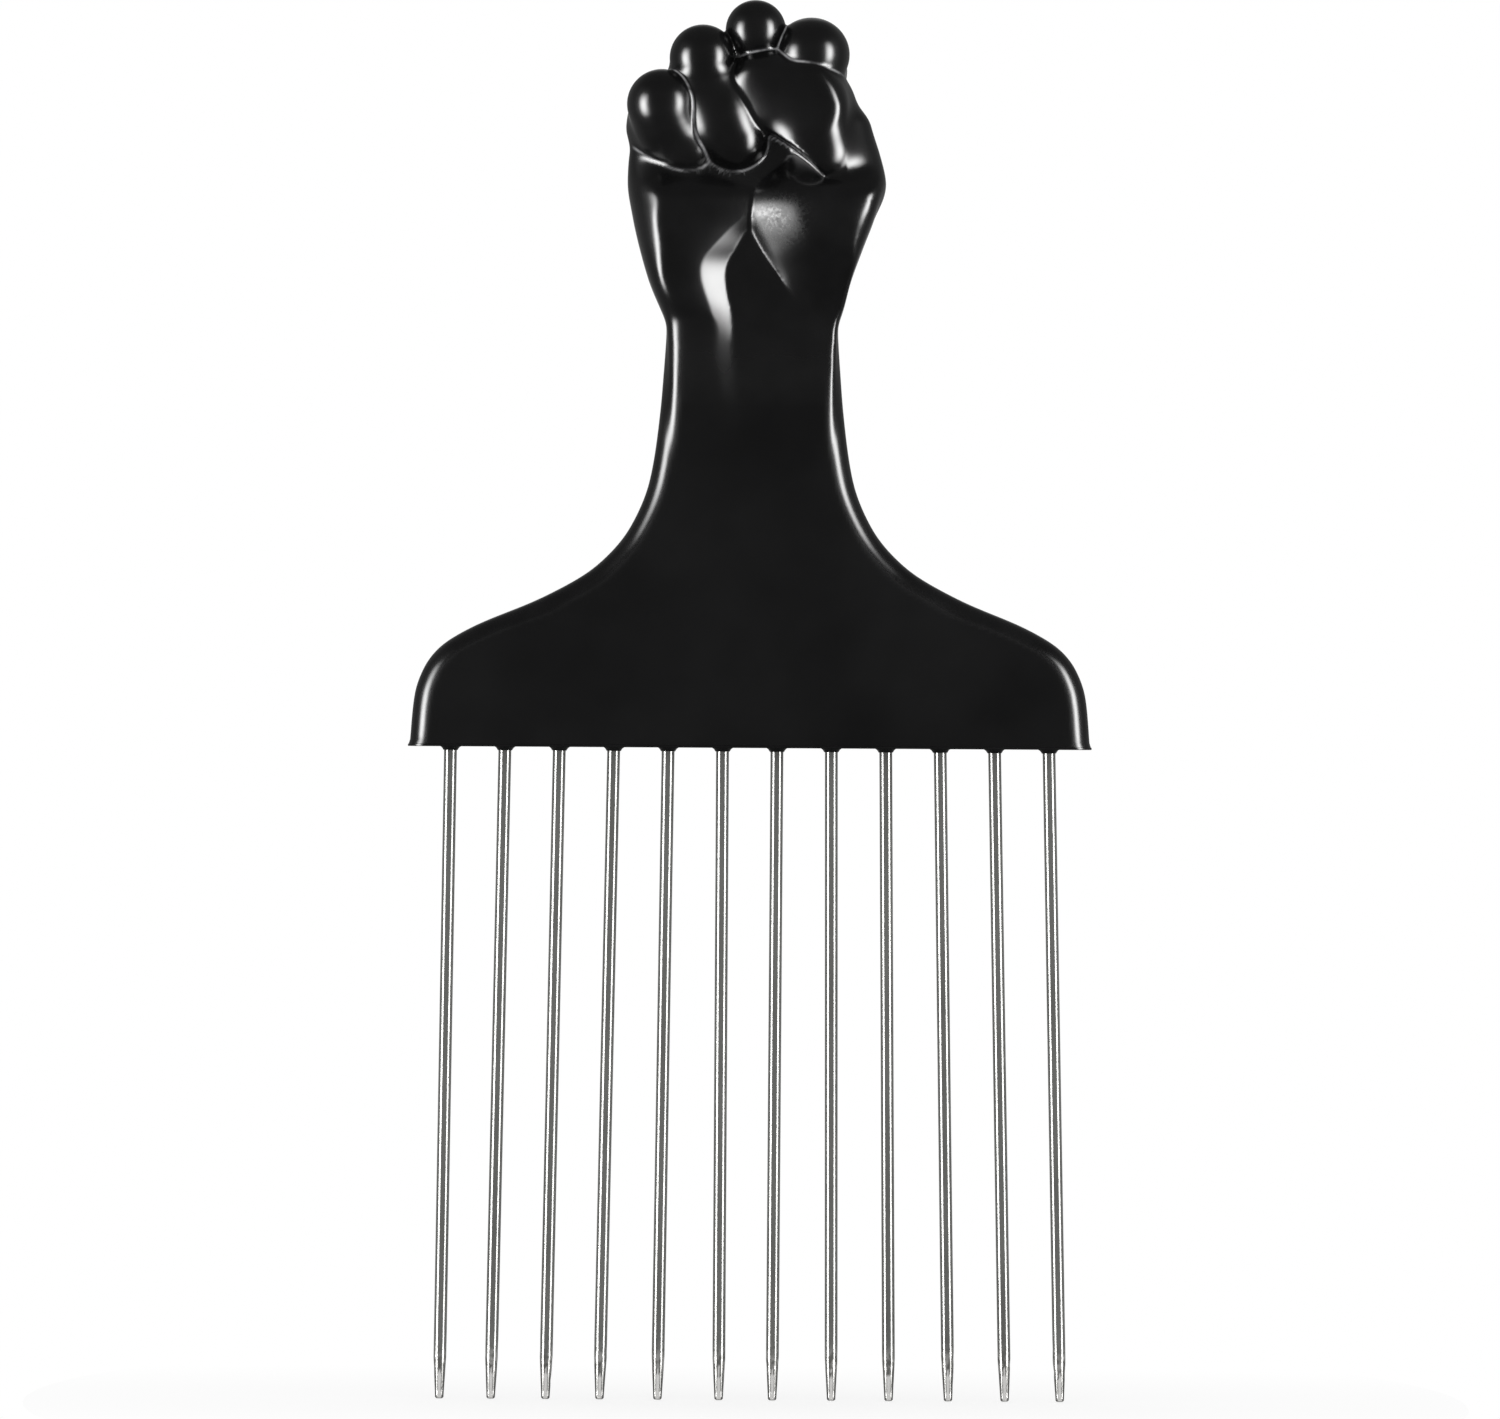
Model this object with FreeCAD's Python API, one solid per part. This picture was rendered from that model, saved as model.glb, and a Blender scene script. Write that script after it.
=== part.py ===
"""Afro pick: a moulded plastic handle in the form of a raised fist, with twelve steel wire tines.

Lengths are in millimetres. The pick stands on its tine tips at z = 0 with the fist on top.
X runs across the row of tines and the palm side of the fist faces -Y.
"""

import FreeCAD, Part
import math
import os

from FreeCAD import Matrix, Placement, Rotation, Vector

# Tines: straight steel wires that fan out a little, each with a tapered blunt tip and an upset anchor.
# The root swells just below the head, so that the moulding grips it and a guard stops there.
# The end wires leave the head at the margin from its ends, and the rest are spaced evenly between them.
# The lean of each wire is its own share of the widest lean in the fan.
TINE_COUNT = 12
TINE_END_MARGIN = 5.1
TINE_DIAMETER = 1.6
TINE_LENGTH = 81.5
TINE_TIP_LENGTH = 5.2
TINE_TIP_DIAMETER = 1.05
TINE_TIP_CHAMFER = 0.2
TINE_SEAT_DEPTH = 9.0
ROOT_DIAMETER = 1.72
ROOT_SWELL_LENGTH = 0.6
ANCHOR_DIAMETER = 2.4
ANCHOR_LENGTH = 1.0
ANCHOR_TAPER = 0.8
TINE_FAN_DEGREES = 1.3
TINE_LEAN_SHARES = (-0.5, -0.7, -0.68, -0.7, -0.46, 0.0, -0.06, 0.25, 0.46, 0.8, 0.95, 1.0)

# Seats of the tines in the head: sockets that follow the wire, with a small collar of plastic at each root.
# A socket is cut on past the head by the overrun, to clear the collar.
SEAT_CLEARANCE = 0.02
SEAT_OVERRUN = 0.9
COLLAR_DIAMETER = 2.9
COLLAR_TOP_DIAMETER = 2.1
COLLAR_HEIGHT = 0.45

# Head, shoulder and grip: one flat plate with well rounded edges, and a thin lip along its bottom edge.
# The rounding of the edges is never more than a share of the thickness.
HEAD_WIDTH = 85.0
HEAD_THICKNESS = 7.0
EDGE_ROUND = 2.9
EDGE_ROUND_LIMIT_SHARE = 0.45
WRIST_WIDTH = 21.3
NECK_HEIGHT = 51.0
LIP_HEIGHT = 0.5
LIP_FLARE = 0.2
# Half outline: spread from the wrist's half width to the head's, against the height of the neck
NECK_OUTLINE_SHARES = (
    (1.0, 0.0),
    (0.981, 0.127),
    (0.943, 0.196),
    (0.881, 0.245),
    (0.753, 0.294),
    (0.491, 0.363),
    (0.276, 0.441),
    (0.139, 0.54),
    (0.063, 0.657),
    (0.026, 0.814),
    (0.0, 1.0),
)
# The plate runs on into the fist by a share of the fist's height, and narrows there to a share of the wrist
PLATE_INTO_FIST_SHARE = 0.14
PLATE_TOP_WIDTH_SHARE = 0.9

# Fist: places across, front to back and up are shares of these three sizes
FIST_WIDTH = 32.0
FIST_DEPTH = 18.6
FIST_HEIGHT = 42.0
FINGER_DIAMETER = 9.0
THUMB_DIAMETER = 11.0
# A link starts this much inside the ball of the joint that it grows from
JOINT_EASE = 0.2
# Oval sections of the hand from the grip to under the fingertips:
# height above the wrist, centre across, width across, depth front to back
HAND_SECTION_SHARES = (
    (-0.49, 0.0, 0.375, 0.34),
    (-0.3, 0.002, 0.494, 0.392),
    (-0.155, 0.003, 0.581, 0.45),
    (-0.036, 0.003, 0.65, 0.516),
    (0.071, 0.0, 0.71, 0.582),
    (0.179, -0.011, 0.791, 0.656),
    (0.274, -0.006, 0.875, 0.71),
    (0.369, 0.003, 0.95, 0.75),
    (0.464, 0.009, 1.0, 0.768),
    (0.56, 0.0, 0.978, 0.768),
    (0.655, -0.012, 0.912, 0.735),
    (0.774, -0.006, 0.69, 0.66),
    (0.845, 0.0, 0.47, 0.5),
)
# Each finger is a chain of rounded joints: across, front to back, height and diameter.
# The chain starts at the back of the hand, runs over the knuckle and folds down on the palm.
LITTLE_JOINT_SHARES = (
    (-0.22, 0.1, 0.24, 0.8),
    (-0.341, 0.24, 0.662, 1.0),
    (-0.35, -0.19, 0.672, 1.03),
    (-0.302, -0.23, 0.603, 1.06),
)
RING_JOINT_SHARES = (
    (-0.1, 0.1, 0.28, 0.8),
    (-0.182, 0.258, 0.807, 1.02),
    (-0.194, -0.183, 0.824, 0.968),
    (-0.091, -0.282, 0.59, 0.836),
)
MIDDLE_JOINT_SHARES = (
    (0.016, 0.1, 0.28, 0.8),
    (0.022, 0.258, 0.861, 1.02),
    (0.009, -0.14, 0.917, 0.8),
    (0.031, -0.12, 0.75, 0.82),
)
INDEX_JOINT_SHARES = (
    (0.13, 0.1, 0.26, 0.8),
    (0.212, 0.245, 0.811, 1.05),
    (0.219, -0.115, 0.845, 0.985),
    (0.21, -0.1, 0.75, 1.0),
)
# The thumb starts at the heel of the hand, swells over its first joint and lies across the fingers.
THUMB_JOINT_SHARES = (
    (0.38, -0.21, 0.526, 0.74),
    (0.231, -0.21, 0.681, 1.0),
    (0.072, -0.247, 0.741, 0.782),
)
THUMB_EDGE_SHARES = (
    (0.27, -0.2, 0.74, 0.655),
    (0.006, -0.333, 0.812, 0.418),
)
# The two pads at the heel of the hand are round chains flattened front to back.
PAD_FLATNESS = 1.5
LITTLE_PAD_SHARES = (
    (-0.112, -0.054, -0.3, 0.84),
    (-0.147, -0.108, 0.12, 1.45),
    (-0.212, -0.108, 0.417, 1.87),
)
THUMB_PAD_SHARES = (
    (0.158, -0.119, 0.155, 1.4),
    (0.214, -0.14, 0.388, 1.86),
)
# A hollow is sunk in the palm under the thumb.
HOLLOW_PLACE_SHARES = (0.119, -0.495, 0.517)
HOLLOW_SIZE_SHARES = (0.169, 0.21, 0.086)

HEAD_BOTTOM = TINE_LENGTH
TINE_PITCH = (HEAD_WIDTH - 2 * TINE_END_MARGIN) / (TINE_COUNT - 1)
WRIST_LEVEL = HEAD_BOTTOM + NECK_HEIGHT
LARGEST_ROUND = min(EDGE_ROUND, HEAD_THICKNESS * EDGE_ROUND_LIMIT_SHARE)


def revolved(profile):
    """A solid of revolution about Z from (radius, height) points that start and end on the axis."""
    points = [Vector(radius, 0, height) for radius, height in profile]
    face = Part.Face(Part.makePolygon(points + points[:1]))
    return face.revolve(Vector(0, 0, 0), Vector(0, 0, 1), 360)


def tine_axis(index):
    """The point where a tine leaves the head, and the turn that leans it in the fan."""
    across = (index - (TINE_COUNT - 1) / 2) * TINE_PITCH
    lean = TINE_FAN_DEGREES * TINE_LEAN_SHARES[index % len(TINE_LEAN_SHARES)]
    return Placement(Vector(across, 0, HEAD_BOTTOM), Rotation(Vector(0, 1, 0), -lean))


def tine(index):
    """One wire, drawn along Z through its root in the head and then leaned."""
    radius = TINE_DIAMETER / 2
    tip_radius = TINE_TIP_DIAMETER / 2
    root_radius = ROOT_DIAMETER / 2
    anchor_radius = ANCHOR_DIAMETER / 2
    wire = revolved([
        (0, -TINE_LENGTH),
        (tip_radius - TINE_TIP_CHAMFER, -TINE_LENGTH),
        (tip_radius, TINE_TIP_CHAMFER - TINE_LENGTH),
        (radius, TINE_TIP_LENGTH - TINE_LENGTH),
        (radius, -ROOT_SWELL_LENGTH),
        (root_radius, 0),
        (root_radius, TINE_SEAT_DEPTH - ANCHOR_LENGTH - ANCHOR_TAPER),
        (anchor_radius, TINE_SEAT_DEPTH - ANCHOR_LENGTH),
        (anchor_radius, TINE_SEAT_DEPTH),
        (0, TINE_SEAT_DEPTH),
    ])
    wire.Placement = tine_axis(index)
    return wire


def tine_seat(index):
    """The room that a wire takes up in the plastic, wider than the wire by the clearance."""
    radius = TINE_DIAMETER / 2 + SEAT_CLEARANCE
    root_radius = ROOT_DIAMETER / 2 + SEAT_CLEARANCE
    anchor_radius = ANCHOR_DIAMETER / 2 + SEAT_CLEARANCE
    seat = revolved([
        (0, -SEAT_OVERRUN),
        (radius, -SEAT_OVERRUN),
        (radius, -ROOT_SWELL_LENGTH),
        (root_radius, 0),
        (root_radius, TINE_SEAT_DEPTH - ANCHOR_LENGTH - ANCHOR_TAPER - SEAT_CLEARANCE),
        (anchor_radius, TINE_SEAT_DEPTH - ANCHOR_LENGTH - SEAT_CLEARANCE),
        (anchor_radius, TINE_SEAT_DEPTH + SEAT_CLEARANCE),
        (0, TINE_SEAT_DEPTH + SEAT_CLEARANCE),
    ])
    seat.Placement = tine_axis(index)
    return seat


def collar(index):
    """The small cone of plastic round a wire's root, rooted in the lip."""
    cone = Part.makeCone(COLLAR_TOP_DIAMETER / 2, COLLAR_DIAMETER / 2, COLLAR_HEIGHT)
    stub = Part.makeCylinder(COLLAR_DIAMETER / 2, LIP_HEIGHT)
    cone.translate(Vector(0, 0, -COLLAR_HEIGHT))
    shape = cone.fuse(stub)
    shape.Placement = tine_axis(index)
    return shape


def neck_side(side):
    """One edge of the plate as a smooth curve from the head's bottom corner up into the fist."""
    spread = (HEAD_WIDTH - WRIST_WIDTH) / 2
    points = []
    for spread_share, height_share in NECK_OUTLINE_SHARES:
        across = WRIST_WIDTH / 2 + spread * spread_share
        points.append(Vector(side * across, 0, HEAD_BOTTOM + NECK_HEIGHT * height_share))
    top = WRIST_LEVEL + FIST_HEIGHT * PLATE_INTO_FIST_SHARE
    points.append(Vector(side * WRIST_WIDTH * PLATE_TOP_WIDTH_SHARE / 2, 0, top))
    curve = Part.BSplineCurve()
    curve.interpolate(points)
    return curve.toShape()


def plate():
    """Head, shoulder and grip: the outline drawn out to the thickness, with its long edges rounded."""
    right = neck_side(1)
    left = neck_side(-1)
    bottom = Part.makeLine(left.Vertexes[0].Point, right.Vertexes[0].Point)
    top = Part.makeLine(left.Vertexes[1].Point, right.Vertexes[1].Point)
    outline = Part.Wire(Part.__sortEdges__([bottom, right, top, left]))
    outline.translate(Vector(0, -HEAD_THICKNESS / 2, 0))
    body = Part.Face(outline).extrude(Vector(0, HEAD_THICKNESS, 0))
    long_edges = [e for e in body.Edges if isinstance(e.Curve, Part.BSplineCurve)]
    return body.makeFillet(LARGEST_ROUND, long_edges)


def lip():
    """The thin rim along the bottom edge of the head, a little proud of it all round."""
    width = HEAD_WIDTH + 2 * LIP_FLARE
    depth = HEAD_THICKNESS + 2 * LIP_FLARE
    rim = Part.makeBox(width, depth, LIP_HEIGHT, Vector(-width / 2, -depth / 2, HEAD_BOTTOM))
    uprights = [e for e in rim.Edges if e.BoundBox.ZLength > LIP_HEIGHT / 2]
    return rim.makeFillet(LARGEST_ROUND, uprights)


def in_fist(across_share, depth_share, height_share):
    """A place in the fist from its shares of the fist's three sizes."""
    height = WRIST_LEVEL + FIST_HEIGHT * height_share
    return Vector(FIST_WIDTH * across_share, FIST_DEPTH * depth_share, height)


def hand():
    """The core of the hand: a loft through ovals."""
    sections = []
    for height, centre, width, depth in HAND_SECTION_SHARES:
        oval = Part.Ellipse(in_fist(centre, 0, height), FIST_WIDTH * width / 2, FIST_DEPTH * depth / 2)
        sections.append(Part.Wire(oval.toShape()))
    return Part.makeLoft(sections, True, False)


def rounded_link(start, start_radius, end, end_radius):
    """Two balls and the cone that just touches both, as one solid of revolution."""
    along = end - start
    length = along.Length
    slope = (start_radius - end_radius) / length
    flank = math.sqrt(1 - slope * slope)
    tangent = Vector(flank, 0, slope)
    foot = Vector(0, 0, 0)
    head = Vector(0, 0, length)
    middle_angle = math.asin(slope)
    low_angle = (middle_angle - math.pi / 2) / 2
    high_angle = (middle_angle + math.pi / 2) / 2
    low_mid = foot + Vector(math.cos(low_angle), 0, math.sin(low_angle)) * start_radius
    high_mid = head + Vector(math.cos(high_angle), 0, math.sin(high_angle)) * end_radius
    low = foot - Vector(0, 0, start_radius)
    high = head + Vector(0, 0, end_radius)
    joint_low = foot + tangent * start_radius
    joint_high = head + tangent * end_radius
    edges = [
        Part.Arc(low, low_mid, joint_low).toShape(),
        Part.makeLine(joint_low, joint_high),
        Part.Arc(joint_high, high_mid, high).toShape(),
        Part.makeLine(high, low),
    ]
    link = Part.Face(Part.Wire(edges)).revolve(foot, Vector(0, 0, 1), 360)
    link.Placement = Placement(start, Rotation(Vector(0, 0, 1), along))
    return link


def chain(joint_shares, diameter, flatness=1):
    """Links from joint to joint. A flatness above 1 makes the chain that much flatter front to back."""
    squeeze = Matrix()
    squeeze.scale(1, 1 / flatness, 1)
    links = []
    ease = 0
    for first, second in zip(joint_shares, joint_shares[1:]):
        start = in_fist(*first[:3])
        end = in_fist(*second[:3])
        start.y = start.y * flatness
        end.y = end.y * flatness
        link = rounded_link(start, diameter * first[3] / 2 - ease, end, diameter * second[3] / 2)
        links.append(link if flatness == 1 else link.transformGeometry(squeeze))
        ease = JOINT_EASE
    return links


def hollow():
    """The dent in the palm under the thumb."""
    across = FIST_WIDTH * HOLLOW_SIZE_SHARES[0]
    depth = FIST_DEPTH * HOLLOW_SIZE_SHARES[1]
    height = FIST_HEIGHT * HOLLOW_SIZE_SHARES[2]
    stretch = Matrix()
    stretch.scale(1, depth / across, height / across)
    dent = Part.makeSphere(across).transformGeometry(stretch)
    dent.translate(in_fist(*HOLLOW_PLACE_SHARES))
    return dent


def handle():
    """The whole moulding: plate, lip, hand and pads, then the digits and collars, less the tine seats."""
    body = plate()
    soft_forms = [lip(), hand()]
    soft_forms += chain(LITTLE_PAD_SHARES, FINGER_DIAMETER, PAD_FLATNESS)
    soft_forms += chain(THUMB_PAD_SHARES, FINGER_DIAMETER, PAD_FLATNESS)
    for form in soft_forms:
        body = body.fuse(form)
    body = body.cut(hollow())
    digits = []
    for joint_shares in (LITTLE_JOINT_SHARES, RING_JOINT_SHARES, MIDDLE_JOINT_SHARES, INDEX_JOINT_SHARES):
        digits += chain(joint_shares, FINGER_DIAMETER)
    digits += chain(THUMB_JOINT_SHARES, THUMB_DIAMETER)
    digits += chain(THUMB_EDGE_SHARES, THUMB_DIAMETER)
    for digit in digits:
        body = body.fuse(digit)
    for index in range(TINE_COUNT):
        body = body.fuse(collar(index))
        body = body.cut(tine_seat(index))
    return body


os.makedirs("parts", exist_ok=True)
moulding = handle()
moulding.exportStep("parts/handle.step")
print("handle solids", len(moulding.Solids), "valid", moulding.isValid(), "volume", round(moulding.Volume))
for number in range(TINE_COUNT):
    wire = tine(number)
    wire.exportStep(f"parts/tine_{number + 1:02d}.step")
print("tines", TINE_COUNT, "valid", wire.isValid(), "volume of one", round(wire.Volume))
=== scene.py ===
"""Afro pick: twelve steel wire tines moulded into a glossy black handle that ends in a raised fist."""

import math
import random

import bmesh
import bpy
import numpy as np
from mathutils import Matrix, Vector


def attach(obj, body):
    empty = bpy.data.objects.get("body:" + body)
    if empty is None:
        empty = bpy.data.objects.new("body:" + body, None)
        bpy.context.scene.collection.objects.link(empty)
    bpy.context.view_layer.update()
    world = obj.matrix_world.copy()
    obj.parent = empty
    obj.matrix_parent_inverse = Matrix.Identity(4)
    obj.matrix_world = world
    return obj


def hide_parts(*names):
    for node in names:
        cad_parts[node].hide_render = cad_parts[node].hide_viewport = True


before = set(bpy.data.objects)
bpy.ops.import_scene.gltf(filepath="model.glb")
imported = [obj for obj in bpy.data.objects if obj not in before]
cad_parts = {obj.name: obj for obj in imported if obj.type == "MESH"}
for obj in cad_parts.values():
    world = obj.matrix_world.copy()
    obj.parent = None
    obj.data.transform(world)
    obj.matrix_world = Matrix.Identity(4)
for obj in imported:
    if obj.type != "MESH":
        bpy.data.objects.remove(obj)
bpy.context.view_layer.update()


# Tines: twelve straight wires of drawn and plated steel. Each is cut to length, ground to a short
# blunt taper at its tip, and held by its root, which the head of the handle is moulded round.
MM = 0.001
TINE_COUNT = 12
TINE_PITCH = 6.8
TINE_RADIUS = 0.8
TINE_LENGTH = 81.5
TINE_SIDES = 28
TINE_LEAN_DEGREES = (-0.65, -0.91, -0.884, -0.91, -0.598, 0.0, -0.078, 0.325, 0.598, 1.04, 1.235, 1.3)
TIP_LENGTH = 5.2
TIP_RADIUS = 0.525
TIP_CHAMFER = 0.13
TAPER_RINGS = 14
ROOT_RADIUS = 0.86
ROOT_SWELL = 0.6
ROOT_IN_HEAD = 3.0
TIP_FLAT = 0.44
TIP_FLAT_SLOPE = 0.073
GRIND_DEPTH = 0.035
GRIND_SPREAD = 1.3
HOLLOW_COUNT = 9
HOLLOW_LEVEL = -0.2
HOLLOW_SIZES = (0.25, 0.6)
HOLLOW_DEPTH_SHARES = (0.4, 1.0)
WORN_SPREAD = 1.5
WORN_SHARE = 0.4
STEEL_DARK = (0.170, 0.171, 0.162, 1.0)
STEEL_LIGHT = (0.208, 0.209, 0.199, 1.0)
GROUND_STEEL = (0.150, 0.149, 0.142, 1.0)
WORN_DARK = (0.14, 0.137, 0.125, 1.0)
WORN_LIGHT = (0.88, 0.87, 0.84, 1.0)
# Near white painted on the flats at the tip: a painted reflection of the white round the pick.
FLAT_PAINTED_REFLECTION = (0.93, 0.92, 0.90, 1.0)
METAL_SHARE = 0.3
DRAWN_ROUGHNESS = (0.05, 0.08)
GROUND_ROUGHNESS = 0.1
DRAW_MARK_STRENGTH = 0.008
DRAW_MARK_HEIGHT = 0.00001
DRAWN_NOISE = (500.0, (2.0, 2.0, 0.05), 1.0)
MOTTLE_NOISE = (300.0, (1.0, 1.0, 0.3), 1.5)
SPECKLE_NOISE = (1700.0, (1.0, 1.0, 0.6), 3.0)
SPIN_MERGE = 0.0001
tine_random = random.Random(12)


def material_with_nodes(name):
    """A new material with its Principled shader, and the node tree that it is built in."""
    material = bpy.data.materials.new(name)
    material.use_nodes = True
    return material, material.node_tree, material.node_tree.nodes["Principled BSDF"]


def feed(tree, source, socket):
    """Give a socket a fixed value, or what another node puts out."""
    if isinstance(source, bpy.types.NodeSocket):
        tree.links.new(source, socket)
    else:
        socket.default_value = source


def worked_out(tree, operation, *sources):
    """What a sum of fixed values and other nodes' values comes to."""
    node = tree.nodes.new("ShaderNodeMath")
    node.operation = operation
    for source, socket in zip(sources, node.inputs):
        feed(tree, source, socket)
    return node.outputs["Value"]


def laid_over(tree, share, under, over):
    """One tone laid over another by a share from 0 to 1."""
    mix = tree.nodes.new("ShaderNodeMix")
    mix.data_type = "RGBA"
    first, second = (socket for socket in mix.inputs if socket.type == "RGBA")
    feed(tree, share, mix.inputs["Factor"])
    feed(tree, under, first)
    feed(tree, over, second)
    return next(socket for socket in mix.outputs if socket.type == "RGBA")


def tone_between(tree, value, low, low_tone, high, high_tone):
    """A tone that runs from one colour to another while a value rises from low to high."""
    ramp = tree.nodes.new("ShaderNodeValToRGB")
    for element, position, tone in zip(ramp.color_ramp.elements, (low, high), (low_tone, high_tone)):
        element.position = position
        element.color = tone
    tree.links.new(value, ramp.inputs["Fac"])
    return ramp.outputs["Color"]


def mark(tree, name):
    """A mark from 0 to 1 that the mesh carries."""
    node = tree.nodes.new("ShaderNodeAttribute")
    node.attribute_name = name
    return node.outputs["Fac"]


def raised(tree, height, strength, distance):
    """The direction of the surface where a pattern stands up from it."""
    bump = tree.nodes.new("ShaderNodeBump")
    bump.inputs["Strength"].default_value = strength
    bump.inputs["Distance"].default_value = distance
    tree.links.new(height, bump.inputs["Height"])
    return bump.outputs["Normal"]


def noise_group():
    """The pattern that the steel and the plastic share: noise on the piece's own coordinates, stretched along
    them, both as it comes and with its middle values spread over a range."""
    group = bpy.data.node_groups.new("surface_noise", "ShaderNodeTree")
    group.interface.new_socket("Stretch", in_out="INPUT", socket_type="NodeSocketVector")
    for name in ("Scale", "Detail", "Low", "High", "Lowest", "Highest"):
        group.interface.new_socket(name, in_out="INPUT", socket_type="NodeSocketFloat")
    for name in ("Pattern", "Spread"):
        group.interface.new_socket(name, in_out="OUTPUT", socket_type="NodeSocketFloat")
    given = group.nodes.new("NodeGroupInput").outputs
    result = group.nodes.new("NodeGroupOutput").inputs
    place = group.nodes.new("ShaderNodeTexCoord")
    stretched = group.nodes.new("ShaderNodeVectorMath")
    stretched.operation = "MULTIPLY"
    noise = group.nodes.new("ShaderNodeTexNoise")
    span = group.nodes.new("ShaderNodeMapRange")
    group.links.new(place.outputs["Object"], stretched.inputs[0])
    group.links.new(given["Stretch"], stretched.inputs[1])
    group.links.new(stretched.outputs["Vector"], noise.inputs["Vector"])
    group.links.new(given["Scale"], noise.inputs["Scale"])
    group.links.new(given["Detail"], noise.inputs["Detail"])
    group.links.new(noise.outputs["Fac"], span.inputs["Value"])
    group.links.new(given["Low"], span.inputs["From Min"])
    group.links.new(given["High"], span.inputs["From Max"])
    group.links.new(given["Lowest"], span.inputs["To Min"])
    group.links.new(given["Highest"], span.inputs["To Max"])
    group.links.new(noise.outputs["Fac"], result["Pattern"])
    group.links.new(span.outputs["Result"], result["Spread"])
    return group


surface_noise = noise_group()


def noise_in(tree, scale, stretch, detail, low=0.0, high=1.0, lowest=0.0, highest=1.0):
    """The shared noise, placed in a material with its own values."""
    noise = tree.nodes.new("ShaderNodeGroup")
    noise.node_tree = surface_noise
    noise.inputs["Stretch"].default_value = stretch
    for name, value in (("Scale", scale), ("Detail", detail), ("Low", low), ("High", high),
                        ("Lowest", lowest), ("Highest", highest)):
        noise.inputs[name].default_value = value
    return noise.outputs


tine_steel, tree, shader = material_with_nodes("tine_steel")
shader.inputs["Metallic"].default_value = METAL_SHARE
drawn = noise_in(tree, *DRAWN_NOISE, 0.3, 0.7, *DRAWN_ROUGHNESS)
mottle = noise_in(tree, *MOTTLE_NOISE)
speckle = noise_in(tree, *SPECKLE_NOISE)
tone = tone_between(tree, mottle["Pattern"], 0.32, STEEL_DARK, 0.62, STEEL_LIGHT)
tone = laid_over(tree, mark(tree, "ground"), tone, GROUND_STEEL)
worn_tone = tone_between(tree, speckle["Pattern"], 0.42, WORN_DARK, 0.6, WORN_LIGHT)
tone = laid_over(tree, mark(tree, "worn"), tone, worn_tone)
# Painted reflection: the flats at the tip are laid over with near white.
tone = laid_over(tree, mark(tree, "flat"), tone, FLAT_PAINTED_REFLECTION)
rough = worked_out(tree, "MULTIPLY_ADD", mark(tree, "ground"), GROUND_ROUGHNESS, drawn["Spread"])
tree.links.new(tone, shader.inputs["Base Color"])
tree.links.new(rough, shader.inputs["Roughness"])
tree.links.new(raised(tree, drawn["Pattern"], DRAW_MARK_STRENGTH, DRAW_MARK_HEIGHT), shader.inputs["Normal"])


def tine_profile():
    """Radius and height of the wire's outline from the middle of its tip up into the head."""
    tip = -TINE_LENGTH
    outline = [(0.0, tip), (TIP_RADIUS - TIP_CHAMFER, tip), (TIP_RADIUS, tip + TIP_CHAMFER)]
    for ring in range(1, TAPER_RINGS + 1):
        share = ring / TAPER_RINGS
        outline.append((TIP_RADIUS + (TINE_RADIUS - TIP_RADIUS) * share, tip + TIP_CHAMFER
                        + (TIP_LENGTH - TIP_CHAMFER) * share))
    outline += [(TINE_RADIUS, tip + TIP_LENGTH + lift) for lift in (0.4, 0.9, 1.5, 2.4, 4.0, 30.0, 60.0)]
    outline += [(TINE_RADIUS, -ROOT_SWELL), (ROOT_RADIUS, 0.0), (ROOT_RADIUS, ROOT_IN_HEAD),
                (0.0, ROOT_IN_HEAD)]
    return outline


def ground_tip(mesh):
    """What the grinding wheel left: a flat in front and behind at the tip, and small hollows where the taper
    begins. The ground steel and its flats are marked for the material, which paints the flats near white as a
    painted reflection of the white round the pick."""
    ground = mesh.verts.layers.float.new("ground")
    flat = mesh.verts.layers.float.new("flat")
    worn = mesh.verts.layers.float.new("worn")
    hollows = []
    for _ in range(HOLLOW_COUNT):
        angle = tine_random.uniform(0, 2 * math.pi)
        height = TIP_LENGTH + tine_random.gauss(HOLLOW_LEVEL, GRIND_SPREAD)
        depth = tine_random.uniform(*HOLLOW_DEPTH_SHARES) * GRIND_DEPTH
        size = tine_random.uniform(*HOLLOW_SIZES)
        hollows.append((angle, height, depth, size))
    for vert in mesh.verts:
        height = vert.co.z + TINE_LENGTH
        radius = math.hypot(vert.co.x, vert.co.y)
        if height > 2 * TIP_LENGTH:
            continue
        vert[ground] = min(max((TIP_LENGTH + 0.3 - height) / 1.2, 0.0), 1.0)
        vert[worn] = WORN_SHARE * math.exp(-((height - TIP_LENGTH + 0.4) / WORN_SPREAD) ** 2)
        turn = math.atan2(vert.co.y, vert.co.x)
        sunk = 0.0
        for angle, level, depth, size in hollows:
            apart = math.hypot(math.remainder(turn - angle, 2 * math.pi) * radius, height - level) / size
            sunk += depth * math.exp(-apart * apart)
        if radius > TIP_RADIUS:
            vert.co.x *= 1 - sunk / radius
            vert.co.y *= 1 - sunk / radius
        limit = TIP_FLAT + TIP_FLAT_SLOPE * height
        if abs(vert.co.y) > limit:
            vert.co.y = math.copysign(limit, vert.co.y)
            vert[flat] = 1.0


def piece_from(mesh, name, material):
    """A finished piece at the origin from a mesh that was drawn in millimetres."""
    bmesh.ops.scale(mesh, vec=(MM, MM, MM), verts=mesh.verts)
    data = bpy.data.meshes.new(name)
    mesh.to_mesh(data)
    mesh.free()
    data.shade_smooth()
    data.materials.append(material)
    piece = bpy.data.objects.new(name, data)
    bpy.context.scene.collection.objects.link(piece)
    return piece


def tine_root(index):
    """Where a wire leaves the head, and the turn that leans it in the fan."""
    across = (index - (TINE_COUNT - 1) / 2) * TINE_PITCH
    lean = Matrix.Rotation(-math.radians(TINE_LEAN_DEGREES[index]), 4, "Y")
    return Matrix.Translation((across, 0.0, TINE_LENGTH)) @ lean


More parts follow.
